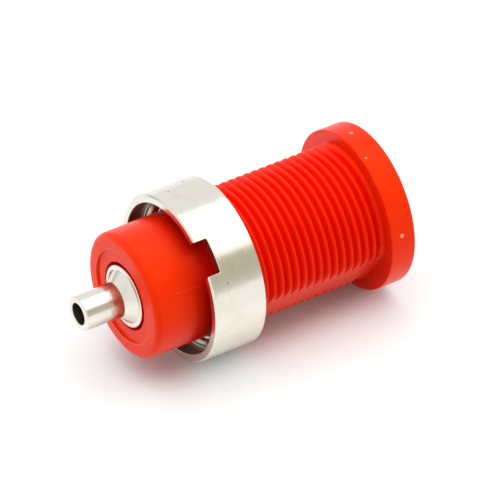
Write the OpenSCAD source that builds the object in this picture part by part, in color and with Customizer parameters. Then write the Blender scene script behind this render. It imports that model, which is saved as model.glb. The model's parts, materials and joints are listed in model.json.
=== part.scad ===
// Panel socket for a shrouded 4 mm plug: moulded body, turned contact and slotted ring nut.
// The axis runs along Y, with the mouth at the front (-Y) and the solder tail at the back (+Y).
// The origin is the centre of the flange's back face, which seats on the panel.
// Directions about the axis are degrees from the top (+Z) towards -X. Lengths are in millimetres.

/* [Flange] */
// How far the flange stands out past the thread
flange_lip = 1; // [0.6:0.1:3]
// Thickness of the flange
flange_t = 2.35; // [1.5:0.05:4]
// Rounding of the flange's front edge
flange_front_round = 0.25; // [0.1:0.05:0.6]
// Rounding of the flange's back edge
flange_back_round = 0.1; // [0.05:0.05:0.3]

/* [Barrel] */
// Outside diameter of the thread
thread_d = 12; // [11.4:0.1:16]
// Pitch of the thread
thread_pitch = 0.75; // [0.6:0.05:1.2]
// Depth of the thread from crest to root
thread_depth = 0.46; // [0.3:0.02:0.5]
// Share of the pitch that is flat on each crest
crest_share = 0.125; // [0.1:0.005:0.2]
// Plain land between the flange and the first groove
land_len = 0.3; // [0.1:0.1:2]
// Turns of thread on the barrel
thread_turns = 20; // [18:1:24]
// Depth of the two flats cut through the thread
flat_depth = 0.65; // [0.3:0.05:0.7]
// Direction that the first flat faces about the axis
flat_angle = 124; // [0:1:180]

/* [Collar] */
// Step down from the thread's crests to the plain collar behind it
collar_step = 0.55; // [0.5:0.05:1]
// Length of the collar
collar_len = 6; // [4:0.1:10]
// Rounding of the collar's back edge
collar_round = 0.6; // [0.2:0.05:0.8]
// Diameter of the shallow recess in the back face
recess_d = 8.1; // [7:0.1:9]
// Depth of the recess in the back face
recess_depth = 0.2; // [0.1:0.05:0.5]

/* [Mouth] */
// Diameter of the mouth that takes the plug's shroud
mouth_d = 8.4; // [7.6:0.1:8.8]
// Width of the lead-in chamfer at the mouth
mouth_lead = 0.4; // [0.2:0.05:0.8]
// Thickness of the wall that closes the mouth at the back
back_wall = 3.9; // [3.4:0.1:5]

/* [Contact] */
// Bore that takes the plug's pin
plug_d = 4; // [3.6:0.1:4.2]
// Wall of the contact tube
tube_wall = 0.5; // [0.4:0.05:0.6]
// Depth of the tube's open end behind the front of the flange
tube_recess = 4.75; // [3:0.05:8]
// Chamfers at the open end of the tube, inside and outside
tube_lead = 0.2; // [0.1:0.05:0.3]
// Wall of metal left between the plug bore and the solder bore
bore_web = 0.9; // [0.5:0.1:2]
// Diameter of the shoulder at the back of the contact
shoulder_d = 5.4; // [5.3:0.1:6]
// Length of the shoulder
shoulder_len = 1.6; // [1:0.1:2]
// Height of the shoulder's back face above the recess
shoulder_rise = 0.1; // [0:0.05:0.4]
// Chamfer on the shoulder's back edge
shoulder_edge = 0.08; // [0.04:0.02:0.2]
// Diameter where the cone meets the shoulder
cone_d = 4.64; // [4:0.02:4.9]
// Diameter of the solder tail
tail_d = 3; // [2.6:0.1:3.6]
// Length of the solder tail behind the shoulder
tail_len = 4.3; // [3:0.1:8]
// Chamfer on the end of the tail
tail_edge = 0.12; // [0.05:0.01:0.3]
// Bore in the tail that takes the wire
solder_d = 1.9; // [1.4:0.1:2.2]
// Depth of the wire bore
solder_depth = 3.8; // [2:0.1:4]
// Height of each retaining barb
barb_height = 0.2; // [0.1:0.02:0.3]
// Length of each retaining barb
barb_len = 0.6; // [0.4:0.05:0.7]
// Number of retaining barbs
barb_count = 2; // [1:1:2]
// Point angle of the drill that made the bores
drill_angle = 118; // [90:1:140]

/* [Nut] */
// Wall of the nut around its threaded bore
nut_wall = 1.2; // [0.9:0.1:3]
// Length of the nut
nut_len = 4.9; // [4:0.1:8]
// Distance from the flange to the nut
nut_gap = 12.3; // [4:0.1:14]
// Wall of the thin rim around the counterbore in the nut's back
rim_wall = 0.7; // [0.5:0.05:0.9]
// Depth of the counterbore
counterbore_depth = 1.6; // [1:0.1:2.4]
// Width of the spanner slots in the nut's back rim
slot_w = 3; // [1.5:0.1:4]
// Depth of the spanner slots
slot_depth = 1.2; // [0.5:0.1:1.4]
// Direction of the first spanner slot about the axis
slot_angle = 44; // [0:1:180]
// Chamfer on the nut's outer edges
nut_edge = 0.15; // [0.05:0.05:0.3]
// Chamfers at both ends of the nut's threaded bore
nut_lead = 0.2; // [0.1:0.05:0.3]

/* [Fits] */
// Radial clearance between the thread's crests and the nut
nut_clear = 0.05; // [0.02:0.01:0.2]
// Radial clearance around the contact where it is pressed into the body
seat_clear = 0.02; // [0:0.01:0.05]
// Radial gap around the shoulder at the back face
shoulder_gap = 0.26; // [0.1:0.02:0.4]

/* [Hidden] */
$fn = 128;
over = 1;                                        // how far cutters run past a face

thread_r = thread_d / 2;
root_r = thread_r - thread_depth;
flat_r = thread_r - flat_depth;                  // from the axis to a flat
flange_r = thread_r + flange_lip;
collar_r = thread_r - collar_step;
crest_half = crest_share * thread_pitch / 2;     // half the flat on a crest, and half the one in a groove
ridge_half = thread_pitch / 2 - crest_half;      // half the width of a ridge at its root
thread_start = land_len + ridge_half;            // middle of the first groove
thread_end = thread_start + thread_turns * thread_pitch;

body_back = thread_end + collar_len;             // back face of the collar
recess_floor = body_back - recess_depth;
mouth_floor = body_back - back_wall;             // inner face of the back wall

tube_r = plug_d / 2 + tube_wall;
tube_front = tube_recess - flange_t;
shoulder_r = shoulder_d / 2;
shoulder_back = recess_floor + shoulder_rise;
seat_y = shoulder_back - shoulder_len;           // where the shoulder bears on the back wall
tail_r = tail_d / 2;
cone_r = cone_d / 2;
cone_end = shoulder_back + cone_r - tail_r;      // a cone at 45 degrees
tail_back = shoulder_back + tail_len;
plug_point = plug_d / 2 / tan(drill_angle / 2);  // height of the drilled cone in the plug bore
solder_point = solder_d / 2 / tan(drill_angle / 2);
solder_floor = tail_back - solder_depth;
plug_floor = solder_floor - solder_point - bore_web - plug_point;
barb_start = (mouth_floor + seat_y - barb_count * barb_len) / 2;

nut_bore_r = thread_r + nut_clear;
nut_r = nut_bore_r + nut_wall;
counterbore_r = nut_r - rim_wall;
nut_back = nut_gap + nut_len;
counterbore_floor = nut_back - counterbore_depth;

// Stands a shape that was made along Z on the socket's axis.
module on_axis() {
    rotate([-90, 0, 0]) children();
}

// Turns a shape that points along +X to a direction about the axis.
module facing(angle) {
    rotate([0, 0, 270 - angle]) children();
}

// A round bar from the axis out to radius r, from y0 to y1.
module bar(r, y0, y1) {
    translate([0, 0, y0]) cylinder(r = r, h = y1 - y0);
}

// A cone frustum from radius r0 at y0 to radius r1 at y1.
module frustum(r0, r1, y0, y1) {
    translate([0, 0, y0]) cylinder(r1 = r0, r2 = r1, h = y1 - y0);
}

// Cutter for a 45 degree chamfer around a hole of radius r in a front face at y.
module lead_in(r, lead, y) {
    frustum(r + lead + over, r - over, y - over, y + lead + over);
}

// Half section of a disc with a rounded back edge.
module disc_section(r, thickness, edge_round) {
    square([r - edge_round, thickness]);
    square([r, thickness - edge_round]);
    translate([r - edge_round, thickness - edge_round]) circle(edge_round);
}

// Half section of the flange: a disc rounded at the back, on the mirror image of one for the front.
module flange_section() {
    translate([0, -flange_t / 2]) {
        disc_section(flange_r, flange_t / 2, flange_back_round);
        mirror([0, 1]) disc_section(flange_r, flange_t / 2, flange_front_round);
    }
}

// Half section of the barrel: a land, then one ridge for each turn of thread.
module barrel_section() {
    ridges = [
        for (turn = [0 : thread_turns - 1])
            let (middle = thread_start + (turn + 0.5) * thread_pitch)
            each [
                [root_r, middle - ridge_half],
                [thread_r, middle - crest_half],
                [thread_r, middle + crest_half],
                [root_r, middle + ridge_half],
            ]
    ];
    polygon(concat(
        [[0, 0], [thread_r, 0], [thread_r, land_len], [root_r, thread_start - crest_half]],
        ridges,
        [[root_r, thread_end], [0, thread_end]]));
}

// Points along the pressed stretch of the contact, with barbs that ramp up towards the back.
function barb_points(clear) = [
    for (i = [0 : barb_count - 1])
        let (front = barb_start + i * barb_len)
        each [
            [tube_r + clear, front],
            [tube_r + barb_height + clear, front + barb_len],
            [tube_r + clear, front + barb_len],
        ]
];

// The bore in the back wall that the contact is pressed into.
module contact_seat() {
    rotate_extrude()
        polygon(concat(
            [[0, mouth_floor - over], [tube_r + seat_clear, mouth_floor - over]],
            barb_points(seat_clear),
            [[tube_r + seat_clear, seat_y + over / 2], [0, seat_y + over / 2]]));
    bar(shoulder_r + shoulder_gap, seat_y, body_back + over);
}

// The mouth for the plug's shroud, open at the front with a lead-in.
module mouth() {
    bar(mouth_d / 2, -flange_t - over, mouth_floor);
    lead_in(mouth_d / 2, mouth_lead, -flange_t);
}

module socket_body() {
    color([0.9, 0.1, 0.06])
    on_axis()
    difference() {
        union() {
            rotate_extrude() flange_section();
            intersection() {
                rotate_extrude() barrel_section();
                facing(flat_angle)
                    translate([-flat_r, -thread_d, -over])
                        cube([2 * flat_r, 2 * thread_d, thread_end + 2 * over]);
            }
            translate([0, 0, thread_end])
                rotate_extrude() disc_section(collar_r, collar_len, collar_round);
        }
        mouth();
        contact_seat();
        bar(recess_d / 2, recess_floor, body_back + over);
    }
}

module contact() {
    color([0.78, 0.76, 0.7])
    on_axis()
    difference() {
        rotate_extrude()
            polygon(concat(
                [[0, tube_front], [tube_r - tube_lead, tube_front], [tube_r, tube_front + tube_lead]],
                barb_points(0),
                [
                    [tube_r, seat_y],
                    [shoulder_r, seat_y],
                    [shoulder_r, shoulder_back - shoulder_edge],
                    [shoulder_r - shoulder_edge, shoulder_back],
                    [cone_r, shoulder_back],
                    [tail_r, cone_end],
                    [tail_r, tail_back - tail_edge],
                    [tail_r - tail_edge, tail_back],
                    [0, tail_back],
                ]));
        bar(plug_d / 2, tube_front - over, plug_floor);
        frustum(plug_d / 2, 0, plug_floor, plug_floor + plug_point);
        lead_in(plug_d / 2, tube_lead, tube_front);
        bar(solder_d / 2, solder_floor, tail_back + over);
        frustum(0, solder_d / 2, solder_floor - solder_point, solder_floor);
    }
}

module ring_nut() {
    color([0.83, 0.81, 0.76])
    on_axis()
    difference() {
        union() {
            frustum(nut_r - nut_edge, nut_r, nut_gap, nut_gap + nut_edge);
            bar(nut_r, nut_gap + nut_edge, nut_back - nut_edge);
            frustum(nut_r, nut_r - nut_edge, nut_back - nut_edge, nut_back);
        }
        bar(nut_bore_r, nut_gap - over, nut_back + over);
        lead_in(nut_bore_r, nut_lead, nut_gap);
        frustum(nut_bore_r, nut_bore_r + nut_lead, counterbore_floor - nut_lead, counterbore_floor);
        bar(counterbore_r, counterbore_floor, nut_back + over);
        for (half_turn = [0, 180])
            facing(slot_angle + half_turn)
                translate([0, -slot_w / 2, nut_back - slot_depth])
                    cube([nut_r + over, slot_w, slot_depth + over]);
    }
}

socket_body();
contact();
ring_nut();
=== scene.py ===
"""Looks of a panel socket for a shrouded 4 mm plug: red moulded body, nickel contact and ring nut."""

import json
import math

import bmesh
import bpy
from mathutils import Matrix, Vector


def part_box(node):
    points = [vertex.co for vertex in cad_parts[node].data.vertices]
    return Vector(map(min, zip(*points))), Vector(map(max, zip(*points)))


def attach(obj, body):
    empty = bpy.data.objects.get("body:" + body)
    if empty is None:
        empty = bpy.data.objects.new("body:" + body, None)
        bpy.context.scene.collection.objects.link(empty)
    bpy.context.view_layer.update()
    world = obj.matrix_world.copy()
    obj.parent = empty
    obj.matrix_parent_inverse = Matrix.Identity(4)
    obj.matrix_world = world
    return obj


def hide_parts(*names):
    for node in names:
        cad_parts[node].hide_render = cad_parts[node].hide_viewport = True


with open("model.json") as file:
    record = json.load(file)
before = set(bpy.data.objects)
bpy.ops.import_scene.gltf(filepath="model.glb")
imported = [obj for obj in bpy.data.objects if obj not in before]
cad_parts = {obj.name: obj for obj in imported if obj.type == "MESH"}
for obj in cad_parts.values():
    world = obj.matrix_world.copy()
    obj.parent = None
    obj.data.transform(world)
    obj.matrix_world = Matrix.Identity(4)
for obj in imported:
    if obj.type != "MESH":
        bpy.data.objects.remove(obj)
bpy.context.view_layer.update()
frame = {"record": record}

# Lengths are in millimetres. Angles are degrees about the axis, which is Y, from the top (+Z) towards -X.
MM = 0.001


def node_box(node):
    """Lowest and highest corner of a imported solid."""
    low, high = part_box(node)
    return low / MM, high / MM


def mount_radius(name):
    """Radius of a bore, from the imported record."""
    return next(m for m in frame["record"]["mounts"] if m["name"] == name)["dims"]["r_mm"]


body_low, body_high = node_box("socket_body")
contact_low, contact_high = node_box("contact")
nut_low, nut_high = node_box("ring_nut")

# Body: flange, barrel and collar
flange_r = body_high.z
flange_t = -body_low.y
flange_front_round = 0.25
flange_back_round = 0.1
flange_step = 1.0
thread_r = flange_r - flange_step
thread_pitch = 0.75
thread_depth = 0.46
crest_flat = thread_pitch / 8
root_r = thread_r - thread_depth
land_len = 0.3
land_end = land_len + thread_pitch / 2 - crest_flat
flat_depth = 0.65
flat_r = thread_r - flat_depth
flat_angle = 124
collar_step = 0.55
collar_r = thread_r - collar_step
collar_len = 6.0
collar_round = 0.6
body_back = body_high.y
thread_end = body_back - collar_len
recess_r = 4.05
recess_depth = 0.2
recess_floor = body_back - recess_depth
mouth_r = 4.2
mouth_lead = 0.4
mouth_foot_round = 0.15
back_wall = 3.9
mouth_floor = body_back - back_wall
fine_round = 0.05

# Helix: the angle where its first ridge runs out, and one crest's place in the photo
thread_seam = -200
thread_turns = 19
thread_run_out = 75
crest_angle = 51.4
crest_y = 1.03

# Contact
plug_r = mount_radius("plug_bore")
solder_r = mount_radius("solder_bore")
tube_wall = 0.5
tube_r = plug_r + tube_wall
tube_lead = 0.2
tube_front = contact_low.y
tail_back = contact_high.y
shoulder_r = contact_high.z
shoulder_proud = 0.1
shoulder_back = recess_floor + shoulder_proud
shoulder_edge = 0.08
shoulder_len = 1.6
seat_y = shoulder_back - shoulder_len
cone_r = 2.32
tail_r = 1.5
cone_end = shoulder_back + cone_r - tail_r
tail_edge = 0.12
solder_depth = 3.8
solder_floor = tail_back - solder_depth
drill_half_angle = 59
drill_slope = math.tan(math.radians(drill_half_angle))
solder_point = solder_floor - solder_r / drill_slope
bore_web = 0.9
plug_floor = solder_point - bore_web - plug_r / drill_slope
barb_count = 2
barb_len = 0.6
barb_height = 0.2
barb_start = (mouth_floor + seat_y - barb_count * barb_len) / 2
seat_clear = 0.02
shoulder_gap = 0.26

# Nut
nut_r = nut_high.z
nut_front = nut_low.y
nut_back = nut_high.y
nut_edge = 0.15
nut_wall = 1.2
nut_bore_r = nut_r - nut_wall
nut_root_clear = 0.09
nut_minor_r = root_r + nut_root_clear
nut_lead = 0.2
nut_turns = 3
nut_run_out = 90
rim_wall = 0.7
counterbore_r = nut_r - rim_wall
counterbore_depth = 1.6
counterbore_floor = nut_back - counterbore_depth
slot_w = 3.0
slot_depth = 1.2
slot_floor = nut_back - slot_depth
slot_angle = 44
slot_top_round = 0.05
slot_foot_round = 0.1
rim_edge = 0.045


class Shell:
    """Rings of points about the axis, joined into one closed skin."""

    def __init__(self):
        self.points = []
        self.faces = []

    def ring(self, points):
        """Adds points. Returns their numbers."""
        first = len(self.points)
        self.points.extend(points)
        return list(range(first, len(self.points)))

    def face(self, *corners):
        """Adds a face, leaving out corners that have run together."""
        kept = [c for i, c in enumerate(corners) if c != corners[i - 1]]
        if len(kept) > 2:
            self.faces.append(kept)

    def join(self, *rings):
        """Bands of faces from each closed ring to the next."""
        for low, high in zip(rings, rings[1:]):
            for i in range(len(low)):
                self.face(low[i - 1], low[i], high[i], high[i - 1])

    def cap(self, ring, y):
        """Closes a ring with faces that meet in one point on the axis."""
        tip = self.ring([(0, y, 0)])[0]
        for i in range(len(ring)):
            self.face(ring[i - 1], ring[i], tip)


def about(radius, angle, y):
    """The point at a radius and an angle about the axis."""
    turn = math.radians(angle)
    return (-radius * math.sin(turn), y, radius * math.cos(turn))


def spread(knots, steps):
    """Angles of one turn, with a number of equal steps in each stretch from one knot to the next."""
    angles = []
    for start, stop, count in zip(knots, knots[1:] + [knots[0] + 360], steps):
        angles.extend(start + (stop - start) * i / count for i in range(count))
    return angles


def smooth_step(value):
    """Eases from 0 to 1."""
    value = min(1, max(0, value))
    return value * value * (3 - 2 * value)


# Degrees between the points of a rounded corner
arc_step = 20


def rounded(corners):
    """A half section as (radius, y) points. A corner with a third number is rounded by that radius."""
    points = []
    for i, (r, y, *bend) in enumerate(corners):
        here = Vector((r, y))
        if not bend:
            points.append(here)
            continue
        to_last = (Vector(corners[i - 1][:2]) - here).normalized()
        to_next = (Vector(corners[i + 1][:2]) - here).normalized()
        half = to_last.angle(to_next) / 2
        middle = here + (to_last + to_next).normalized() * bend[0] / math.sin(half)
        arm = here + to_last * bend[0] / math.tan(half) - middle
        sweep = math.copysign(math.pi - 2 * half, arm.cross(-to_last))
        count = max(2, round(math.degrees(abs(sweep)) / arc_step))
        for k in range(count + 1):
            points.append(middle + Matrix.Rotation(sweep * k / count, 2) @ arm)
    return points


# Threads

flank_steps = 3
valley_steps = 4
ridge_steps = 6


def thread_form(root, crest):
    """One pitch of a thread as (share of the pitch, radius) points, from the middle of a round root."""
    flank = math.atan2(thread_pitch / 2 - crest_flat, abs(crest - root))
    bend = crest_flat / 2 / math.tan(math.pi / 4 - flank / 2)
    swing = math.pi / 2 - flank
    inward = math.copysign(bend, crest - root)

    def arc(middle, tip, rise, steps):
        """The round of a root or a crest."""
        turns = [swing * (2 * k / steps - 1) for k in range(steps + 1)]
        return [
            Vector((middle + bend * math.sin(turn) / thread_pitch, tip + rise * (1 - math.cos(turn))))
            for turn in turns
        ]

    def straight(start, stop):
        """The points between the two ends of a flank."""
        return [start.lerp(stop, k / flank_steps) for k in range(1, flank_steps)]

    valley = arc(0, root, inward, valley_steps)
    ridge = arc(0.5, crest, -inward, ridge_steps)
    middle = valley_steps // 2
    next_valley = [point + Vector((1, 0)) for point in valley[:middle]]
    rise = straight(valley[-1], ridge[0])
    fall = straight(ridge[-1], next_valley[0])
    return valley[middle:] + rise + ridge + fall + next_valley


class Helix:
    """A right-handed thread that grows from a point at its seam and ends in a point after some turns."""

    def __init__(self, form, turns, start_y, seam, run_out):
        self.form = form
        self.turn_rows = len(form)
        self.last_row = turns * self.turn_rows
        self.start_y = start_y
        self.seam = seam
        self.run_out = run_out
        self.base = form[0][1]

    def part(self, row, angle):
        """How much of the ridge is there: 1 along the thread, and 0 at its two points."""
        if row < self.turn_rows:
            return smooth_step((self.seam + 360 - angle) / self.run_out)
        if row > self.last_row - self.turn_rows:
            return smooth_step((angle - self.seam) / self.run_out)
        return 1

    def radius(self, row, angle):
        """The radius of a row of the thread at an angle."""
        return self.base + self.part(row, angle) * (self.form[row % self.turn_rows][1] - self.base)

    def y(self, row, angle):
        """The place of a row along the axis at an angle."""
        turns = row // self.turn_rows + self.form[row % self.turn_rows][0]
        whole = 1 if row < self.turn_rows else self.last_row // self.turn_rows - 1
        turns = whole + (turns - whole) * self.part(row, angle)
        return self.start_y + thread_pitch * (turns - (angle - self.seam) / 360)


def helix_start(seam, turn):
    """Where a helix starts at its seam, so that it meshes with the crests in the photo."""
    return crest_y + thread_pitch * (turn - 0.5 + (crest_angle - seam) / 360)


def add_thread(shell, helix, angles_of, radius_of):
    """Adds a helix row by row. Returns its first and its last ring."""
    ids = {}
    for row in range(helix.last_row + 1):
        angles = angles_of(row)
        for column, angle in enumerate(angles):
            if column == 0 and row > helix.last_row - helix.turn_rows:
                ids[row, column] = ids[helix.last_row - helix.turn_rows, 0]
            else:
                place = about(radius_of(row, angle), angle, helix.y(row, angle))
                ids[row, column] = shell.ring([place])[0]
        ids[row, len(angles)] = ids[max(0, row - helix.turn_rows), 0]
    columns = len(angles)
    rows = [[ids[row, column] for column in range(columns + 1)] for row in range(helix.last_row + 1)]
    for low, high in zip(rows, rows[1:]):
        for c in range(columns):
            shell.face(low[c], low[c + 1], high[c + 1], high[c])
    return rows[0][:columns], rows[-1][:columns]


# Red body

parting_half = 0.45
parting_height = 0.02
pad_line_half = 0.5
pad_line_height = 0.035
pad_line_taper = 0.3
pad_line_front = (16.7, 63.6)
pad_line_back = (19.8, 62.0)
flat_edge_half = 0.6
flat_margin = 6
tip_round = 0.3
far_flat = flat_angle - 180
settling_rounds = 8

# Steps from knot to knot across a flat, and around the whole body
flat_steps = [3, 1, 3, 5, 1, 1, 5, 3, 1, 3]
body_steps = [40, *flat_steps, 30, 1, 1, 10, *flat_steps, 4]


def knot_columns(*knots):
    """The columns that stand at some of the knots in body_steps."""
    return [sum(body_steps[:knot]) for knot in knots]


# Columns on the parting lines in the middle of the flats, and on the short mould line
parting_columns = knot_columns(6, 20)
pad_column = knot_columns(13)[0]


def flat_half(radius):
    """Half the angle that a flat takes out of a circle."""
    return math.degrees(math.acos(min(1, flat_r / radius)))


def body_angles(halves, y=pad_line_front[0]):
    """Columns around the body. Each flat has a half before its middle and a half behind it."""
    share = (y - pad_line_front[0]) / (pad_line_back[0] - pad_line_front[0])
    pad = pad_line_front[1] + min(1, max(0, share)) * (pad_line_back[1] - pad_line_front[1])
    edge_knots = (-flat_margin, -flat_edge_half, flat_edge_half, flat_margin)
    knots = [thread_seam]
    for flat, before, behind in ((far_flat, *halves[:2]), (flat_angle, *halves[2:])):
        knots += [flat - before + away for away in edge_knots]
        knots += [flat - parting_half, flat, flat + parting_half]
        knots += [flat + behind + away for away in edge_knots]
        if flat == far_flat:
            knots += [pad - pad_line_half, pad, pad + pad_line_half]
    return spread(knots, body_steps)


def cut_by_flats(radius, angle):
    """The radius that the flats leave at an angle. A ridge ends in a rounded tip, and a groove in none."""
    blend = tip_round * (radius - root_r) / thread_depth
    for flat in (flat_angle, far_flat):
        away = math.cos(math.radians(angle - flat))
        if away > 0:
            plane = flat_r / away
            overlap = max(0, blend - abs(plane - radius))
            radius = min(radius, plane) - (overlap**2 / blend / 4 if overlap else 0)
    return radius


def round_ring(shell, radius, y):
    """A ring of the body that the flats don't reach."""
    angles = body_angles([flat_half(thread_r)] * 4, y)
    return shell.ring([about(radius, angle, y) for angle in angles])


def cut_ring(shell, radius, y):
    """A ring of the barrel with its two flats."""
    angles = body_angles([flat_half(radius)] * 4)
    return shell.ring([about(cut_by_flats(radius, angle), angle, y) for angle in angles])


def collar_rings(shell):
    """The collar's wall and round edge, with the raised mould lines."""
    front_y = pad_line_front[0]
    back_y = pad_line_back[0]
    line_heights = {
        thread_end: 0,
        front_y: 0,
        front_y + pad_line_taper: pad_line_height,
        back_y - pad_line_taper: pad_line_height,
        back_y: 0,
    }
    wall = [Vector((collar_r, y)) for y in line_heights]
    edge = rounded([(collar_r, back_y), (collar_r, body_back, collar_round), (recess_r, body_back)])[1:-1]
    section = wall + edge
    pad_heights = [*line_heights.values()] + [0] * len(edge)
    rings = []
    for i, point in enumerate(section):
        along = section[min(i + 1, len(section) - 1)] - section[max(i - 1, 0)]
        out = Vector((along.y, -along.x)).normalized()
        angles = body_angles([flat_half(thread_r)] * 4, point.y)
        raised = {c: parting_height for c in parting_columns}
        raised[pad_column] = pad_heights[i]
        places = [point + out * raised.get(c, 0) for c in range(len(angles))]
        rings.append(shell.ring([about(p.x, angle, p.y) for p, angle in zip(places, angles)]))
    return rings


def barb_section(clear):
    """The stretch of the contact that bites into the back wall, from front to back."""
    points = []
    for i in range(barb_count):
        front = barb_start + i * barb_len
        points += [(tube_r + clear, front), (tube_r + barb_height + clear, front + barb_len)]
        points.append((tube_r + clear, front + barb_len))
    return points


def red_body():
    """Flange, threaded barrel with two flats and collar around the mouth, as one closed skin."""
    shell = Shell()
    hole_r = tube_r + seat_clear
    front = rounded([
        (hole_r, mouth_floor),
        (mouth_r, mouth_floor, mouth_foot_round),
        (mouth_r, mouth_lead - flange_t, fine_round),
        (mouth_r + mouth_lead, -flange_t, fine_round),
        (flange_r, -flange_t, flange_front_round),
        (flange_r, 0, flange_back_round),
        (thread_r, 0),
    ])[:-1]
    front_rings = [round_ring(shell, *point) for point in front]
    shell.join(*front_rings)

    land = rounded([(thread_r, 0), (thread_r, land_len, fine_round), (root_r, land_end)])
    land_rings = [cut_ring(shell, *point) for point in land]
    shell.join(front_rings[-1], land_rings[0])

    helix = Helix(
        thread_form(root_r, thread_r),
        thread_turns,
        helix_start(thread_seam, 0),
        thread_seam,
        thread_run_out,
    )

    def thread_angles(row):
        """Columns of a row, with the flats as wide as the thread is there."""
        halves = []
        for flat in (far_flat, flat_angle):
            for side in (-1, 1):
                half = flat_half(thread_r)
                for _ in range(settling_rounds):
                    half = flat_half(helix.radius(row, flat + side * half))
                halves.append(half)
        return body_angles(halves)

    def thread_radius(row, angle):
        """The thread's radius where the flats leave it."""
        return cut_by_flats(helix.radius(row, angle), angle)

    first, last = add_thread(shell, helix, thread_angles, thread_radius)
    shell.join(*land_rings, first)

    collar = collar_rings(shell)
    shell.join(last, cut_ring(shell, root_r, thread_end), *collar)
    bore_r = shoulder_r + shoulder_gap
    back = rounded([
        (collar_r, body_back),
        (recess_r, body_back, fine_round),
        (recess_r, recess_floor, fine_round),
        (bore_r, recess_floor, fine_round),
        (bore_r, seat_y),
        (hole_r, seat_y),
        *reversed(barb_section(seat_clear)),
    ])[1:]
    shell.join(collar[-1], *(round_ring(shell, *point) for point in back), front_rings[0])
    return shell


# Contact

contact_columns = 96


def nickel_contact():
    """Tube with the plug bore, barbs, shoulder, cone and hollow solder tail, turned from one bar."""
    shell = Shell()
    section = rounded([
        (plug_r, plug_floor),
        (plug_r, tube_front + tube_lead, fine_round),
        (plug_r + tube_lead, tube_front),
        (tube_r - tube_lead, tube_front),
        (tube_r, tube_front + tube_lead, fine_round),
        *barb_section(0),
        (tube_r, seat_y),
        (shoulder_r, seat_y),
        (shoulder_r, shoulder_back, shoulder_edge),
        (cone_r, shoulder_back),
        (tail_r, cone_end, fine_round),
        (tail_r, tail_back, tail_edge),
        (solder_r, tail_back, tail_edge / 2),
        (solder_r, solder_floor),
    ])
    angles = [360 * i / contact_columns for i in range(contact_columns)]
    rings = [shell.ring([about(r, angle, y) for angle in angles]) for r, y in section]
    shell.join(*rings)
    shell.cap(rings[0], plug_floor + plug_r / drill_slope)
    shell.cap(rings[-1], solder_point)
    return shell


# Ring nut

rim_round_steps = 28
rim_floor_steps = 6
wall_spread = 0.3
quarter_turn = (0, 30, 60, 90)


def slot_path():
    """One side of a spanner slot, from rim to floor: points, ways out of the metal and edge breaks."""
    half = slot_w / 2
    top_mid = Vector((-half - slot_top_round, nut_back - slot_top_round))
    foot_mid = Vector((-half + slot_foot_round, slot_floor + slot_foot_round))
    path = [(Vector((top_mid.x - nut_edge, nut_back)), Vector((0, 1)), nut_edge)]
    for turn in quarter_turn:
        way = Vector((math.sin(math.radians(turn)), math.cos(math.radians(turn))))
        path.append((top_mid + way * slot_top_round, way, rim_edge))
    for turn in quarter_turn:
        way = Vector((math.cos(math.radians(turn)), math.sin(math.radians(turn))))
        path.append((foot_mid - way * slot_foot_round, way, rim_edge))
    return path


def rim_columns():
    """The nut's columns: angle, slot's middle if any, point on the rim, way out and edge break."""
    side = slot_path()
    reach = -side[-1][0].x
    floor = [
        (Vector((reach * (2 * k / rim_floor_steps - 1), slot_floor)), Vector((0, 1)), rim_edge)
        for k in range(1, rim_floor_steps)
    ]
    mirrored = [(Vector((-p.x, p.y)), Vector((-way.x, way.y)), edge) for p, way, edge in reversed(side)]
    slot = side + floor + mirrored
    middle_r = (nut_r + counterbore_r) / 2
    slot_angles = [math.degrees(math.asin(p.x / middle_r)) for p, _, _ in slot]
    for k in range(1, len(side)):
        shift = wall_spread * (k - len(side) / 2)
        slot_angles[k] += shift
        slot_angles[-1 - k] -= shift
    plain = (None, Vector((0, nut_back)), Vector((0, 1)), nut_edge)
    first, last = slot_angles[0], slot_angles[-1]
    columns = []
    for middle in (slot_angle, slot_angle + 180):
        for k in range(rim_round_steps):
            columns.append((middle - 90 + (first + 90) * k / rim_round_steps, *plain))
        for angle, at in zip(slot_angles, slot):
            columns.append((middle + angle, middle, *at))
        for k in range(1, rim_round_steps):
            columns.append((middle + last + (90 - last) * k / rim_round_steps, *plain))
    return columns


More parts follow.
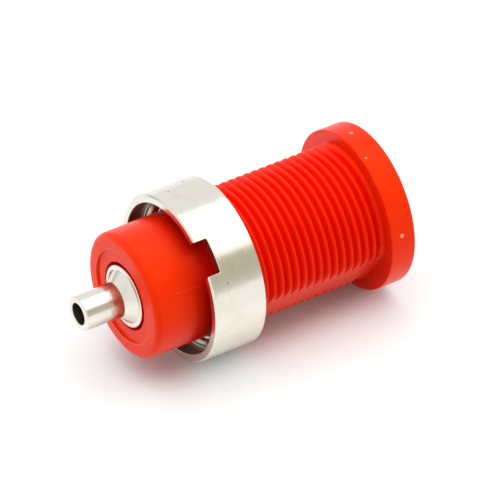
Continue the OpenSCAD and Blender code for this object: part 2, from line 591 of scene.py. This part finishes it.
def nickel_nut():
    """Round nut with an inner thread, a counterbored back and two spanner slots in its rim."""
    shell = Shell()
    columns = rim_columns()
    angles = [column[0] for column in columns]

    def plain_ring(radius, y):
        """A round ring."""
        return shell.ring([about(radius, angle, y) for angle in angles])

    def rim_ring(radius, depth_of):
        """A ring along the rim's outline, sunk below it by the column's own depth."""
        places = []
        for angle, middle, point, way, edge in columns:
            sunk = point - way * depth_of(edge)
            if middle is not None:
                angle = middle + math.degrees(math.asin(sunk.x / radius))
            places.append(about(radius, angle, sunk.y))
        return shell.ring(places)

    def outer_edge_ring():
        """The rim's outline on its flat top, where the outer edge break begins."""
        places = []
        for angle, middle, point, _, edge in columns:
            radius = nut_r - edge
            if middle is not None:
                angle = middle + math.degrees(math.asin(point.x / radius))
            places.append(about(radius, angle, point.y))
        return shell.ring(places)

    seam = angles[0]
    room = (nut_front + nut_lead - crest_y) / thread_pitch + 1
    turn = math.ceil(room - (nut_run_out + crest_angle - seam) / 360)
    helix = Helix(
        thread_form(nut_bore_r, nut_minor_r),
        nut_turns,
        helix_start(seam, turn + 0.5),
        seam,
        nut_run_out,
    )
    first, last = add_thread(shell, helix, lambda row: angles, helix.radius)
    outside = [
        plain_ring(nut_bore_r, nut_front + nut_lead),
        plain_ring(nut_bore_r + nut_lead, nut_front),
        plain_ring(nut_r - nut_edge, nut_front),
        plain_ring(nut_r, nut_front + nut_edge),
        plain_ring(nut_r, slot_floor - 2 * nut_edge),
        rim_ring(nut_r, lambda edge: edge),
        outer_edge_ring(),
        rim_ring(counterbore_r + rim_edge, lambda edge: 0),
        rim_ring(counterbore_r, lambda edge: rim_edge),
        plain_ring(counterbore_r, counterbore_floor),
        plain_ring(nut_bore_r + nut_lead, counterbore_floor),
        plain_ring(nut_bore_r, counterbore_floor - nut_lead),
    ]
    shell.join(first, *outside, last)
    return shell


# Shader helpers


def add(tree, kind, inputs=None, **settings):
    """Adds a shader node. An input is a value or the socket that feeds it."""
    made = tree.nodes.new(kind)
    for name, value in settings.items():
        setattr(made, name, value)
    for name, value in (inputs or {}).items():
        if isinstance(value, bpy.types.NodeSocket):
            tree.links.new(value, made.inputs[name])
        else:
            made.inputs[name].default_value = value
    return made


def math_node(tree, operation, *values):
    """The result of a Math node."""
    return add(tree, "ShaderNodeMath", dict(enumerate(values)), operation=operation).outputs[0]


def product(tree, first, *others):
    """Values multiplied with each other."""
    for other in others:
        first = math_node(tree, "MULTIPLY", first, other)
    return first


def largest(tree, first, *others):
    """The largest of some values."""
    for other in others:
        first = math_node(tree, "MAXIMUM", first, other)
    return first


def apart(tree, value, middle):
    """How far a value is from another one, on either side of it."""
    return math_node(tree, "ABSOLUTE", math_node(tree, "SUBTRACT", value, middle))


def remap(tree, value, from_low, from_high, to_low=0.0, to_high=1.0):
    """Maps a range of values to another one, smoothly and within its ends."""
    ends = {"From Min": from_low, "From Max": from_high, "To Min": to_low, "To Max": to_high}
    made = add(tree, "ShaderNodeMapRange", {"Value": value, **ends}, interpolation_type="SMOOTHSTEP")
    return made.outputs["Result"]


def fade(tree, length, none, full, low=0.0, high=1.0):
    """A mask that goes from low to high between two lengths in millimetres."""
    return remap(tree, length, none * MM, full * MM, low, high)


def reach_towards(tree, vector, direction):
    """How far a vector reaches in a direction."""
    pair = {0: vector, 1: direction}
    return add(tree, "ShaderNodeVectorMath", pair, operation="DOT_PRODUCT").outputs["Value"]


def length_of(tree, vector):
    """The length of a vector."""
    return add(tree, "ShaderNodeVectorMath", {0: vector}, operation="LENGTH").outputs["Value"]


def noise(tree, place, scale, detail):
    """Cloudy noise between 0 and 1."""
    made = add(tree, "ShaderNodeTexNoise", {"Vector": place, "Scale": scale, "Detail": detail})
    return made.outputs["Fac"]


def mix_colour(tree, factor, a, b):
    """A colour between two others."""
    made = add(tree, "ShaderNodeMix", data_type="RGBA")
    for index, value in ((0, factor), (6, a), (7, b)):
        if isinstance(value, bpy.types.NodeSocket):
            tree.links.new(value, made.inputs[index])
        else:
            made.inputs[index].default_value = (*value, 1)
    return made.outputs[2]


def part_place(tree):
    """Coordinates on the part, in metres."""
    return tree.nodes.new("ShaderNodeTexCoord").outputs["Object"]


# Shader groups that the materials share


def new_group(name, inputs, outputs):
    """A shader group with named sockets. Returns the group and its two end nodes."""
    group = bpy.data.node_groups.new(name, "ShaderNodeTree")
    for label, kind, default in inputs:
        socket = group.interface.new_socket(label, in_out="INPUT", socket_type=kind)
        socket.default_value = default
    for label in outputs:
        group.interface.new_socket(label, in_out="OUTPUT", socket_type="NodeSocketFloat")
    return group, group.nodes.new("NodeGroupInput"), group.nodes.new("NodeGroupOutput")


def use(tree, group, inputs=None):
    """Places a shared group in a material or in another group. Returns its outputs."""
    return add(tree, "ShaderNodeGroup", node_tree=group, inputs=inputs).outputs


def axis_place_group():
    """How far a place on the part is from the axis, and how far along it."""
    group, _, made = new_group("axis_place", [], ["Radius", "Along"])
    axes = add(group, "ShaderNodeSeparateXYZ", {"Vector": part_place(group)}).outputs
    across = add(group, "ShaderNodeCombineXYZ", {"X": axes["X"], "Z": axes["Z"]}).outputs["Vector"]
    group.links.new(length_of(group, across), made.inputs["Radius"])
    group.links.new(axes["Y"], made.inputs["Along"])
    return group


def fine_grain_group():
    """The fine grain of a surface and its slow drift from patch to patch."""
    group, given, made = new_group(
        "fine_grain",
        [("Grain Size", "NodeSocketFloat", 0.08 * MM), ("Patch Size", "NodeSocketFloat", 3 * MM)],
        ["Grain", "Patch"],
    )
    place = part_place(group)
    for label, detail in (("Grain", 3.0), ("Patch", 4.0)):
        scale = math_node(group, "DIVIDE", 1.0, given.outputs[label + " Size"])
        group.links.new(noise(group, place, scale, detail), made.inputs[label])
    return group


def turning_marks_group():
    """The fine rings that a lathe tool leaves around the axis, and broader bands of them."""
    group, given, made = new_group(
        "turning_marks", [("Spacing", "NodeSocketFloat", 0.05 * MM)], ["Rings", "Bands"]
    )
    place = use(group, axis_place)
    way = math_node(group, "ADD", place["Radius"], place["Along"])
    along = math_node(group, "DIVIDE", way, given.outputs["Spacing"])
    for label, scale, detail in (("Rings", 1.0, 2.0), ("Bands", 0.12, 1.0)):
        inputs = {"W": along, "Scale": scale, "Detail": detail}
        marks = add(group, "ShaderNodeTexNoise", inputs, noise_dimensions="1D")
        group.links.new(marks.outputs["Fac"], made.inputs[label])
    return group


def small_mark_group():
    """A small mark with a ragged outline around a place on the surface."""
    lumps_per_mm = 6
    least_reach = 0.55
    ragged_reach = 0.9
    full_share = 0.55
    group, given, made = new_group(
        "small_mark",
        [("Place", "NodeSocketVector", (0, 0, 0)), ("Size", "NodeSocketFloat", 0.15 * MM)],
        ["Mask"],
    )
    place = part_place(group)
    pair = {0: place, 1: given.outputs["Place"]}
    away = add(group, "ShaderNodeVectorMath", pair, operation="DISTANCE").outputs["Value"]
    lumps = noise(group, place, lumps_per_mm / MM, detail=2.0)
    ragged = math_node(group, "MULTIPLY_ADD", lumps, ragged_reach, least_reach)
    share = math_node(group, "DIVIDE", away, product(group, ragged, given.outputs["Size"]))
    group.links.new(remap(group, share, 1.0, full_share), made.inputs["Mask"])
    return group


def edge_rub_and_highlight_group():
    """Edges that handling and the mating thread have rubbed, in patches, partly a painted highlight where
    the edges catch light.
    """
    patches_per_mm = 2.2
    patch_low = 0.3
    patch_high = 0.65
    group, given, made = new_group(
        "edge_rub_and_highlight", [("Start", "NodeSocketFloat", 0.52), ("Full", "NodeSocketFloat", 0.6)], ["Mask"]
    )
    point = group.nodes.new("ShaderNodeNewGeometry").outputs["Pointiness"]
    patches = noise(group, part_place(group), patches_per_mm / MM, detail=3.0)
    edge = remap(group, point, given.outputs["Start"], given.outputs["Full"])
    mask = product(group, edge, remap(group, patches, patch_low, patch_high))
    group.links.new(mask, made.inputs["Mask"])
    return group


axis_place = axis_place_group()
fine_grain = fine_grain_group()
turning_marks = turning_marks_group()
small_mark = small_mark_group()
edge_rub_and_highlight = edge_rub_and_highlight_group()


def new_material(name, **constants):
    """A material with one Principled shader, whose constants sit on its own sockets."""
    material = bpy.data.materials.new(name)
    material.use_nodes = True
    tree = material.node_tree
    shader = tree.nodes["Principled BSDF"]
    for label, value in constants.items():
        shader.inputs[label.replace("_", " ")].default_value = value
    return material, tree, shader


def set_bump(tree, shader, height, depth):
    """Feeds the shader's normal with a bump whose depth is in millimetres."""
    bump = add(tree, "ShaderNodeBump", {"Height": height, "Strength": 1.0, "Distance": depth * MM})
    tree.links.new(bump.outputs["Normal"], shader.inputs["Normal"])


def marks_mask(tree, marks):
    """One mask for a list of marks."""
    masks = []
    for radius, angle, y, size in marks:
        place = [c * MM for c in about(radius, angle, y)]
        masks.append(use(tree, small_mark, {"Place": place, "Size": size * MM})["Mask"])
    return largest(tree, *masks)


# Red plastic

moulded_red = ((0.92, 0.022, 0.001), (0.96, 0.032, 0.002))
# Painted shade in the body's corners
corner_shade_red = (0.66, 0.003, 0.0005)
# Painted shade at the bottom of the thread's grooves
groove_shade_red = (0.86, 0.003, 0.0005)
# Paler crests and edges: partly rubbed, partly a painted highlight
rubbed_and_highlight_red = (0.95, 0.07, 0.03)
rubbed_and_highlight_red_share = 0.35
# Painted highlight along the recess rim in the collar's back
rim_highlight_red = (1.0, 0.14, 0.04)
rim_highlight_share = 0.6
speck_colour = (0.98, 0.38, 0.19)
plastic_rough = (0.27, 0.36)
plastic_drift = (0.3, 0.7)
plastic_grain = 0.09
plastic_patch = 2.6
plastic_bump = 0.004

# Pale specks on the flange in the photo, as (radius, angle, y, size)
flange_specks = [
    (flange_r, -7.2, -1.07, 0.18),
    (flange_r, 19.1, -0.45, 0.12),
    (flange_r, 79.1, -1.01, 0.22),
]

# Where the masks on the body start and where they are full
mask_edge = 0.1
mouth_clear = 0.2
groove_start = 0.02
groove_full = 0.28
flat_start = 0.01
flat_full = 0.08
seat_start = 0.04
seat_full = 0.02
seat_share = 0.65
seat_rim_share = 0.5
collar_root_len = 4.4
rim_line_out = 0.03
rim_line_start = 0.1
rim_line_full = 0.04
rim_depth_start = 0.08
rim_depth_full = 0.04


def outside_mask(tree, place):
    """1 on the body's outer side, and 0 closer to the axis than the mouth's wall."""
    wall_r = mouth_r + mouth_clear
    return fade(tree, place["Radius"], wall_r, wall_r + mask_edge)


def groove_shade_mask(tree):
    """Painted shade: 1 at the bottom of the barrel's thread, and 0 on its crests, on its flats and off the
    barrel.
    """
    place = use(tree, axis_place)
    depth = fade(tree, place["Radius"], thread_r - groove_start, thread_r - groove_full)
    front = fade(tree, place["Along"], 0, mask_edge)
    back = fade(tree, place["Along"], thread_end, thread_end - mask_edge)
    reach = reach_towards(tree, part_place(tree), about(1, flat_angle, 0))
    off_flat = fade(tree, math_node(tree, "ABSOLUTE", reach), flat_r - flat_start, flat_r - flat_full)
    return product(tree, depth, outside_mask(tree, place), front, back, off_flat)


def corner_shade_mask(tree):
    """Painted shade in the corners of the body: on the flange around the barrel, and at the collar's root.
    """
    place = use(tree, axis_place)
    from_seat = math_node(tree, "ABSOLUTE", place["Along"])
    on_seat = fade(tree, from_seat, seat_start, seat_full, 0.0, seat_share)
    inwards = fade(tree, place["Radius"], flange_r, thread_r, seat_rim_share, 1.0)
    behind_thread = fade(tree, place["Along"], thread_end - mask_edge, thread_end)
    near_thread = fade(tree, place["Along"], thread_end + collar_root_len, thread_end)
    corners = largest(tree, product(tree, on_seat, inwards), product(tree, behind_thread, near_thread))
    return product(tree, corners, outside_mask(tree, place))


def recess_rim_highlight_mask(tree):
    """Painted highlight: 1 on the sharp edge around the recess in the collar's back."""
    place = use(tree, axis_place)
    from_rim = apart(tree, place["Radius"], (recess_r + rim_line_out) * MM)
    near = fade(tree, from_rim, rim_line_start, rim_line_full)
    level = fade(tree, place["Along"], body_back - rim_depth_start, body_back - rim_depth_full)
    return product(tree, near, level)


def red_plastic():
    """Glossy red moulding with painted shade in its corners and grooves, rubbed edges with a painted
    highlight, a painted highlight on the recess rim, and pale specks.
    """
    material, tree, shader = new_material(
        "red_moulded_plastic", IOR=1.33, Specular_Tint=(1, 0.4, 0.1, 1)
    )
    grain = use(tree, fine_grain, {"Grain Size": plastic_grain * MM, "Patch Size": plastic_patch * MM})
    rub_and_highlight = use(tree, edge_rub_and_highlight, {"Start": 0.53, "Full": 0.62})["Mask"]
    rim_highlight = recess_rim_highlight_mask(tree)
    colour = mix_colour(tree, grain["Patch"], *moulded_red)
    # Painted shade in the corners
    colour = mix_colour(tree, corner_shade_mask(tree), colour, corner_shade_red)
    # Painted shade in the thread's grooves
    colour = mix_colour(tree, groove_shade_mask(tree), colour, groove_shade_red)
    # Paler rubbed edges, partly a painted highlight
    colour = mix_colour(tree, product(tree, rub_and_highlight, rubbed_and_highlight_red_share), colour, rubbed_and_highlight_red)
    # Painted highlight on the recess rim
    colour = mix_colour(tree, product(tree, rim_highlight, rim_highlight_share), colour, rim_highlight_red)
    colour = mix_colour(tree, marks_mask(tree, flange_specks), colour, speck_colour)
    tree.links.new(colour, shader.inputs["Base Color"])
    rough = remap(tree, grain["Patch"], *plastic_drift, *plastic_rough)
    tree.links.new(rough, shader.inputs["Roughness"])
    set_bump(tree, shader, grain["Grain"], plastic_bump)
    return material


# Nickel plate

contact_colour = (0.84, 0.8, 0.72)
contact_rough = (0.15, 0.19)
nut_colour = (0.83, 0.79, 0.7)
nut_rough = (0.14, 0.22)
rough_drift = (0.35, 0.65)
band_share = 0.5
worn_nickel = (0.78, 0.73, 0.63)
worn_drift = (0.5, 0.75)
# Warm tint on rubbed edges, partly a painted reflection
rubbed_and_reflection_nickel = (0.9, 0.84, 0.68)
rubbed_and_reflection_nickel_share = 0.4
nut_speck_colour = (0.3, 0.3, 0.28)
# Painted shade on the nut's counterbore wall and slot floors
cut_face_shade_colour = (0.24, 0.18, 0.14)
stain_colour = (0.38, 0.12, 0.04)
# Darker at the cone's foot on one side
cone_foot_dark_colour = (0.1, 0.07, 0.05)
# Painted shade inside the bores
bore_shade_colour = (0.3, 0.27, 0.2)
dull_rough = 0.2
nickel_grain = 0.45
nickel_patch = 1.8
ring_spacing = 0.045
ring_bump = 0.0012

# Dark specks on the nut in the photo, as (radius, angle, y, size)
nut_specks = [
    (nut_r, -25.8, 13.76, 0.2),
    (nut_r, -18.4, 15.73, 0.12),
    (nut_r, 64.3, 15.67, 0.1),
]

# Where the masks on the metal start and where they are full
cut_start = 0.05
cut_full = 0.02
slot_rim_start = 0.05
slot_rim_full = 0.1
slot_floor_start = 0.06
slot_floor_full = 0.03
bore_start = 0.04
# The darker patch at the cone's foot: its side, and how far out and up it reaches
cone_foot_dark_angle = -120
cone_foot_dark_side_start = 0.1
cone_foot_dark_side_full = 0.4
cone_foot_dark_out_start = 0.07
cone_foot_dark_out_full = 0.03
cone_foot_dark_up_start = 0.32
cone_foot_dark_up_full = 0.14
stain_start = 1.9
stain_full = 1.2
stain_ragged = 1.4
stain_skin = 0.05
stain_drift = (0.2, 0.55)
stain_strength = (0.4, 0.9)


def cut_face_shade_mask(tree):
    """Painted shade: 1 on the nut's cut faces, the counterbore's wall and the slots' floors, which are
    also rougher.
    """
    place = use(tree, axis_place)
    wall_r = fade(tree, place["Radius"], counterbore_r + cut_start, counterbore_r + cut_full)
    wall_y = fade(tree, place["Along"], counterbore_floor + cut_full, counterbore_floor + cut_start)
    floor_r = fade(tree, place["Radius"], nut_r - slot_rim_start, nut_r - slot_rim_full)
    from_floor = apart(tree, place["Along"], slot_floor * MM)
    floor_y = fade(tree, from_floor, slot_floor_start, slot_floor_full)
    return largest(tree, product(tree, wall_r, wall_y), product(tree, floor_r, floor_y))


def bore_shade_mask(tree):
    """Painted shade: 1 in the solder bore and on the points of both bores."""
    return fade(tree, use(tree, axis_place)["Radius"], solder_r + bore_start, solder_r)


def cone_foot_dark_mask(tree):
    """1 at the cone's foot, on one side, where it is darker."""
    place = use(tree, axis_place)
    near = fade(tree, place["Radius"], cone_r + cone_foot_dark_out_start, cone_r + cone_foot_dark_out_full)
    level = fade(tree, place["Along"], shoulder_back + cone_foot_dark_up_start, shoulder_back + cone_foot_dark_up_full)
    reach = reach_towards(tree, part_place(tree), about(1, cone_foot_dark_angle, 0))
    side = fade(tree, reach, cone_foot_dark_side_start * cone_r, cone_foot_dark_side_full * cone_r)
    return product(tree, side, near, level)


def stain_mask(tree, grain):
    """A patchy stain with a ragged edge on the foot of the tail."""
    place = use(tree, axis_place)
    ragged = math_node(tree, "MULTIPLY_ADD", grain["Grain"], stain_ragged * MM, place["Along"])
    beside = fade(tree, ragged, cone_end + stain_start, cone_end + stain_full)
    tail = fade(tree, place["Radius"], tail_r + stain_skin, tail_r)
    patchy = remap(tree, grain["Patch"], *stain_drift, *stain_strength)
    return product(tree, beside, tail, patchy)


def contact_marks(tree, grain, colour):
    """The contact's stain, a darker patch at the cone's foot and painted shade in the bores. Returns the
    colour with them, and where it is dull.
    """
    stain = stain_mask(tree, grain)
    cone_foot_dark = cone_foot_dark_mask(tree)
    bore_shade = bore_shade_mask(tree)
    colour = mix_colour(tree, stain, colour, stain_colour)
    # Darker at the cone's foot on one side
    colour = mix_colour(tree, cone_foot_dark, colour, cone_foot_dark_colour)
    # Painted shade in the bores
    colour = mix_colour(tree, bore_shade, colour, bore_shade_colour)
    return colour, largest(tree, stain, cone_foot_dark, bore_shade)


def nut_marks(tree, grain, colour):
    """The nut's specks, and painted shade on its cut faces. Returns the colour with them, and where it is
    dull.
    """
    cut_shade = cut_face_shade_mask(tree)
    colour = mix_colour(tree, marks_mask(tree, nut_specks), colour, nut_speck_colour)
    # Painted shade on the cut faces
    colour = mix_colour(tree, cut_shade, colour, cut_face_shade_colour)
    return colour, cut_shade


def nickel(name, base, rough_range, add_marks):
    """Nickel plate over turned brass, with worn patches, rubbed edges partly tinted as a painted
    reflection, lathe rings and own marks, some of them painted shade.
    """
    material, tree, shader = new_material(name, Metallic=1.0)
    grain = use(tree, fine_grain, {"Grain Size": nickel_grain * MM, "Patch Size": nickel_patch * MM})
    rings = use(tree, turning_marks, {"Spacing": ring_spacing * MM})
    rub_and_highlight = use(tree, edge_rub_and_highlight, {"Start": 0.54, "Full": 0.66})["Mask"]
    metal = mix_colour(tree, remap(tree, grain["Patch"], *worn_drift), base, worn_nickel)
    # Warm rubbed edges, partly a painted reflection
    metal = mix_colour(tree, product(tree, rub_and_highlight, rubbed_and_reflection_nickel_share), metal, rubbed_and_reflection_nickel)
    colour, dull = add_marks(tree, grain, metal)
    tree.links.new(colour, shader.inputs["Base Color"])
    patches = product(tree, grain["Patch"], 1 - band_share)
    drift = math_node(tree, "MULTIPLY_ADD", rings["Bands"], band_share, patches)
    rough = remap(tree, drift, *rough_drift, *rough_range)
    tree.links.new(math_node(tree, "MULTIPLY_ADD", dull, dull_rough, rough), shader.inputs["Roughness"])
    set_bump(tree, shader, rings["Rings"], ring_bump)
    return material


# Pieces

sharp_angle = 34
axis_reach = 0.01


def axis_frame(point):
    """The directions outwards, around the axis and along it at a point, as the columns of a matrix."""
    along = Vector((0, 1, 0))
    out = Vector((point.x, 0, point.z))
    out = out.normalized() if out.length > axis_reach * MM else Vector((0, 0, 1))
    return Matrix((out, along.cross(out), along)).transposed()


def shade_as_turned(mesh):
    """Sets normals that are true around the axis, and that the wide faces lead from front to back."""
    mesh.shade_smooth()
    facings = [axis_frame(face.center).transposed() @ face.normal for face in mesh.polygons]
    neighbours = [[] for _ in mesh.vertices]
    for face in mesh.polygons:
        for vertex in face.vertices:
            neighbours[vertex].append(face.index)
    frames = [axis_frame(vertex.co) for vertex in mesh.vertices]
    limit = math.cos(math.radians(sharp_angle))
    normals = []
    for face in mesh.polygons:
        for vertex in face.vertices:
            near = [i for i in neighbours[vertex] if facings[i].dot(facings[face.index]) > limit]
            total = sum((facings[i] * (mesh.polygons[i].area / MM**2) for i in near), Vector())
            normals.append((frames[vertex] @ total).normalized())
    mesh.normals_split_custom_set(normals)


def make_piece(name, shell, material, body, node):
    """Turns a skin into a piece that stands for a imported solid."""
    mesh = bpy.data.meshes.new(name)
    mesh.from_pydata([Vector(p) * MM for p in shell.points], [], shell.faces)
    skin = bmesh.new()
    skin.from_mesh(mesh)
    bmesh.ops.recalc_face_normals(skin, faces=skin.faces)
    skin.to_mesh(mesh)
    skin.free()
    shade_as_turned(mesh)
    mesh.materials.append(material)
    piece = bpy.data.objects.new(name, mesh)
    bpy.context.scene.collection.objects.link(piece)
    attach(piece, body)
    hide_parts(node)


contact_plate = nickel("contact_plate", contact_colour, contact_rough, contact_marks)
nut_plate = nickel("nut_plate", nut_colour, nut_rough, nut_marks)
make_piece("red_body", red_body(), red_plastic(), "socket", "socket_body")
make_piece("nickel_contact", nickel_contact(), contact_plate, "socket", "contact")
make_piece("nickel_nut", nickel_nut(), nut_plate, "nut", "ring_nut")

# Floor, light and camera

# Floor: its paint, and the glow that leaves out a strip under the object
floor_reach = 3000
floor_paint = (0.75, 0.75, 0.75, 1)
glow_colour = (0.85, 1, 1, 1)
strip_middle = 9.25
strip_half = 8.25
glow_start = 1.8
glow_full = 6.2
near_glow = 0.27
far_start = 12
far_full = 30
far_loss = 0.15

# Lamp: its place, size, power and the share of its width over which it fades
lamp_place = (-140, -200, 500)
lamp_size = (750, 700)
lamp_power = 2.3
lamp_fade = 0.45
lamp_edge = 0.35

# Room: colours that the metal shows, each around a direction within angles in degrees
wall_colour = (0.92, 0.93, 0.94)
gap_colour = (0.68, 0.67, 0.65)
gap_side = (0.93, 0.34, 0.12)
gap_angles = (15, 4)
dark_colour = (0.56, 0.52, 0.43)
dark_side = (-0.79, -0.43, 0.44)
dark_angles = (36, 4)

# Room: the light that falls on surfaces, from above and from beside
above_side = (0.62, 0.5, 0.6)
above_range = (0.0, 0.95)
above_light = (0.3, 1.4)
beside_side = (-0.65, -0.74, 0.1)
beside_range = (0.7, 1.0)
beside_light = (0.0, 2.4)

# Camera, fitted to the photo
photo_size = 500
view_azimuth = 237.3
view_elevation = 37.31
focal_pixels = 6630
origin_pixel = (345.3, 210.3)
origin_depth = 546.7
sensor_width = 36
near_clip = 10
far_clip = 10000


def seen_rays(tree):
    """1 for rays that the camera, a reflection or a clear material sees, and 0 for all others."""
    path = tree.nodes.new("ShaderNodeLightPath").outputs
    return largest(tree, path["Is Camera Ray"], path["Is Glossy Ray"], path["Is Transmission Ray"])


def floor_sheet():
    """Pale paint with a glow for seen rays, which is weaker under the object and far from it."""
    material = bpy.data.materials.new("floor_sheet")
    material.use_nodes = True
    tree = material.node_tree
    tree.nodes.clear()
    paint = add(tree, "ShaderNodeBsdfDiffuse", {"Color": floor_paint})
    place = add(tree, "ShaderNodeSeparateXYZ", {"Vector": part_place(tree)}).outputs
    from_middle = apart(tree, place["Y"], strip_middle * MM)
    beyond = largest(tree, math_node(tree, "SUBTRACT", from_middle, strip_half * MM), 0.0)
    plan = add(tree, "ShaderNodeCombineXYZ", {"X": place["X"], "Y": beyond}).outputs["Vector"]
    away = length_of(tree, plan)
    near = fade(tree, away, glow_start, glow_full, 0.0, near_glow)
    far = fade(tree, away, far_start, far_full, 0.0, far_loss)
    strength = product(tree, seen_rays(tree), math_node(tree, "SUBTRACT", near, far))
    glow = add(tree, "ShaderNodeEmission", {"Color": glow_colour, "Strength": strength})
    both = add(tree, "ShaderNodeAddShader", {0: paint.outputs[0], 1: glow.outputs[0]})
    add(tree, "ShaderNodeOutputMaterial", {"Surface": both.outputs[0]})
    return material


def pale_floor():
    """A wide pale sheet under the nut and the flange."""
    slope = (nut_r - flange_r) / (nut_front + flange_t)
    corners = [(-1, -1), (1, -1), (1, 1), (-1, 1)]
    plan = [(x * floor_reach, y * floor_reach) for x, y in corners]
    places = [Vector((x, y, -flange_r - slope * (y + flange_t))) * MM for x, y in plan]
    mesh = bpy.data.meshes.new("pale_floor")
    mesh.from_pydata(places, [], [(0, 1, 2, 3)])
    mesh.materials.append(floor_sheet())
    floor = bpy.data.objects.new("pale_floor", mesh)
    bpy.context.scene.collection.objects.link(floor)


def soft_box():
    """A wide lamp overhead that faces down. Its light fades towards -X."""
    lamp = bpy.data.lights.new("top_soft_box", "AREA")
    lamp.shape = "RECTANGLE"
    lamp.size = lamp_size[0] * MM
    lamp.size_y = lamp_size[1] * MM
    lamp.energy = lamp_power
    lamp.use_nodes = True
    tree = lamp.node_tree
    spot = tree.nodes.new("ShaderNodeNewGeometry").outputs["Parametric"]
    across = add(tree, "ShaderNodeSeparateXYZ", {"Vector": spot}).outputs["X"]
    strength = remap(tree, across, 0.0, lamp_fade, lamp_edge, 1.0)
    tree.links.new(strength, tree.nodes["Emission"].inputs["Strength"])
    holder = bpy.data.objects.new("top_soft_box", lamp)
    holder.location = Vector(lamp_place) * MM
    bpy.context.scene.collection.objects.link(holder)


def studio_world():
    """Pale walls with darker sides that the metal shows, and soft light from above and beside."""
    world = bpy.data.worlds.new("studio")
    bpy.context.scene.world = world
    world.use_nodes = True
    tree = world.node_tree
    tree.nodes.clear()
    way = tree.nodes.new("ShaderNodeTexCoord").outputs["Generated"]

    def facing(side):
        """The cosine of the angle between a side of the room and the direction looked in."""
        return reach_towards(tree, way, Vector(side).normalized())

    def patch(side, angles):
        """1 within the inner angle around a side of the room, and 0 beyond the outer one."""
        outer, inner = (math.cos(math.radians(angle)) for angle in angles)
        return remap(tree, facing(side), outer, inner)

    colour = mix_colour(tree, patch(gap_side, gap_angles), wall_colour, gap_colour)
    colour = mix_colour(tree, patch(dark_side, dark_angles), colour, dark_colour)
    above = remap(tree, facing(above_side), *above_range, *above_light)
    beside = remap(tree, facing(beside_side), *beside_range, *beside_light)
    fill = math_node(tree, "ADD", above, beside)
    strength = remap(tree, seen_rays(tree), 0.0, 1.0, fill, 1.0)
    back = add(tree, "ShaderNodeBackground", {"Color": colour, "Strength": strength})
    add(tree, "ShaderNodeOutputWorld", {"Surface": back.outputs[0]})


def photo_camera():
    """The camera of the photo: the origin of the frame falls on its pixel."""
    azimuth = math.radians(view_azimuth)
    elevation = math.radians(view_elevation)
    right = Vector((math.cos(azimuth), math.sin(azimuth), 0))
    back = Vector((
        math.sin(azimuth) * math.cos(elevation),
        -math.cos(azimuth) * math.cos(elevation),
        math.sin(elevation),
    ))
    up = back.cross(right)
    across = (origin_pixel[0] - photo_size / 2) / focal_pixels * origin_depth
    down = (origin_pixel[1] - photo_size / 2) / focal_pixels * origin_depth
    place = (-right * across + up * down + back * origin_depth) * MM
    camera = bpy.data.cameras.new("photo_camera")
    camera.sensor_width = sensor_width
    camera.lens = focal_pixels * sensor_width / photo_size
    camera.clip_start = near_clip * MM
    camera.clip_end = far_clip * MM
    holder = bpy.data.objects.new("photo_camera", camera)
    turn = Matrix((right, up, back)).transposed().to_4x4()
    holder.matrix_world = Matrix.Translation(place) @ turn
    bpy.context.scene.collection.objects.link(holder)
    bpy.context.scene.camera = holder


pale_floor()
studio_world()
soft_box()
photo_camera()
bpy.context.scene.view_settings.view_transform = "Standard"
